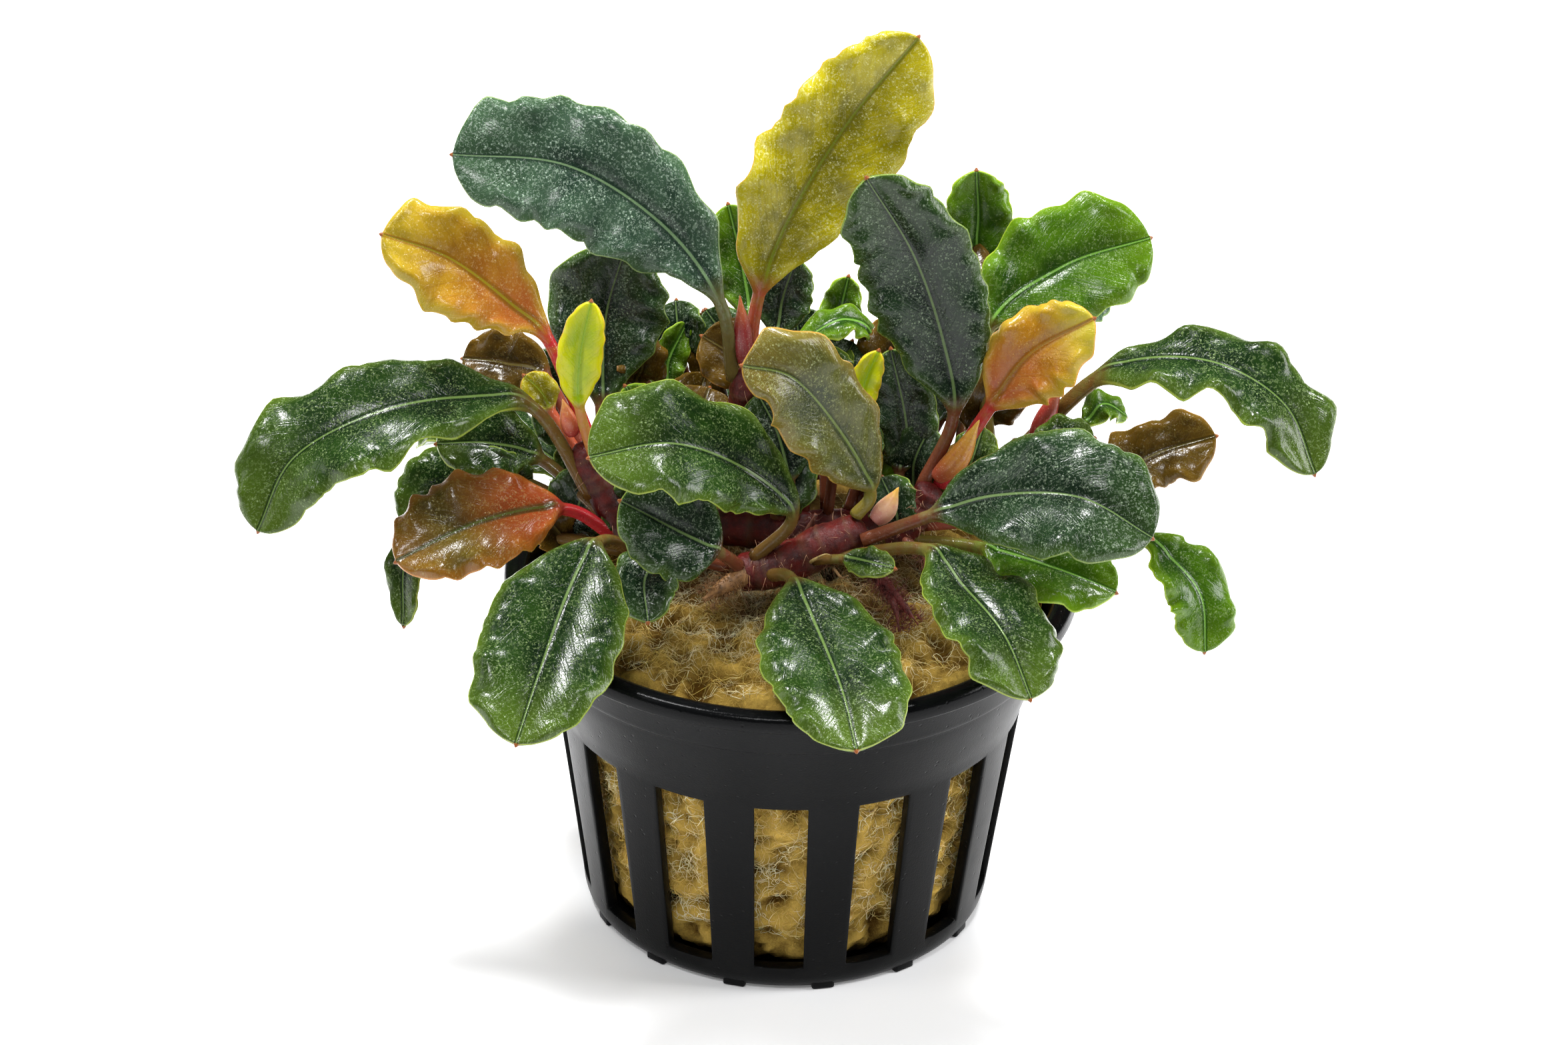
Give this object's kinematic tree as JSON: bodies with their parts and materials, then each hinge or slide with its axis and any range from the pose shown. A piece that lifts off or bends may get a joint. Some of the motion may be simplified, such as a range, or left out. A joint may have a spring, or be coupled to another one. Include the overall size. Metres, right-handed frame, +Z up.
{
  "type": "potted bucephalandra aquarium plant",
  "caption": "Small creeping aquarium plant with ruffled speckled leaves in green, teal, olive and amber, rooted in yellow mineral wool in a slotted black net pot.",
  "frame": {"origin": "centre of the net pot's flat underside, where it rests", "axes": "+Z up, out of the pot; -Y towards the side that the picture shows; +X to the right as that side is faced, along the plant's longest spread"},
  "size_m": [0.0914, 0.0608, 0.079],
  "materials": {
    "mineral_wool": "matte",
    "pot_plastic": "satin",
    "rhizome_skin": "satin",
    "sheath_skin": "satin",
    "leaf_amber": "satin",
    "leaf_bright": "satin",
    "leaf_bronze": "satin",
    "leaf_brown": "satin",
    "leaf_dark": "satin",
    "leaf_green": "satin",
    "leaf_lime": "satin",
    "leaf_olive": "satin",
    "leaf_orange": "satin",
    "leaf_teal": "satin"
  },
  "bodies": {
    "root": {"leaf_amber": "leaf_amber", "leaf_arching_right": "leaf_green", "leaf_back_far_left": "leaf_bronze", "leaf_back_left": "leaf_green", "leaf_back_low_left": "leaf_green", "leaf_back_middle": "leaf_dark", "leaf_back_right": "leaf_green", "leaf_back_upright": "leaf_teal", "leaf_big_dark_right": "leaf_dark", "leaf_big_oval": "leaf_green", "leaf_big_teal": "leaf_teal", "leaf_bright_behind": "leaf_bright", "leaf_bright_right": "leaf_bright", "leaf_bronze": "leaf_bronze", "leaf_brown_back_left": "leaf_brown", "leaf_brown_right": "leaf_brown", "leaf_centre_left": "leaf_green", "leaf_curled_lime": "leaf_lime", "leaf_curled_low_left": "leaf_green", "leaf_dark_back_left": "leaf_dark", "leaf_dark_behind": "leaf_dark", "leaf_dark_centre": "leaf_dark", "leaf_dark_low_left": "leaf_dark", "leaf_dark_under": "leaf_dark", "leaf_dark_vertical": "leaf_dark", "leaf_flat_right": "leaf_green", "leaf_front_oval": "leaf_green", "leaf_front_right": "leaf_green", "leaf_green_left_under": "leaf_green", "leaf_lime": "leaf_lime", "leaf_long_left": "leaf_green", "leaf_low_right": "leaf_bright", "leaf_orange_left": "leaf_orange", "leaf_orange_young": "leaf_orange", "leaf_pale_back": "leaf_bright", "leaf_rounded_left": "leaf_green", "leaf_shiny_under": "leaf_bright", "leaf_small_back_right": "leaf_bright", "leaf_small_behind": "leaf_brown", "leaf_small_behind_centre": "leaf_bright", "leaf_small_behind_left": "leaf_bright", "leaf_tall_olive": "leaf_olive", "leaf_tiny_front": "leaf_green", "leaf_upright_dark": "leaf_dark", "leaf_yellow_centre": "leaf_lime", "leaf_yellow_left": "leaf_lime", "mineral_wool": "mineral_wool", "net_pot": "pot_plastic", "rhizome_back": "rhizome_skin", "rhizome_core": "rhizome_skin", "rhizome_far_right": "rhizome_skin", "rhizome_front": "rhizome_skin", "rhizome_left": "rhizome_skin", "rhizome_rear": "rhizome_skin", "rhizome_right": "rhizome_skin", "sheath_far_right": "sheath_skin", "sheath_left": "sheath_skin", "sheath_orange": "sheath_skin", "sheath_pink": "sheath_skin", "sheath_red": "sheath_skin"}
  },
  "joints": []
}
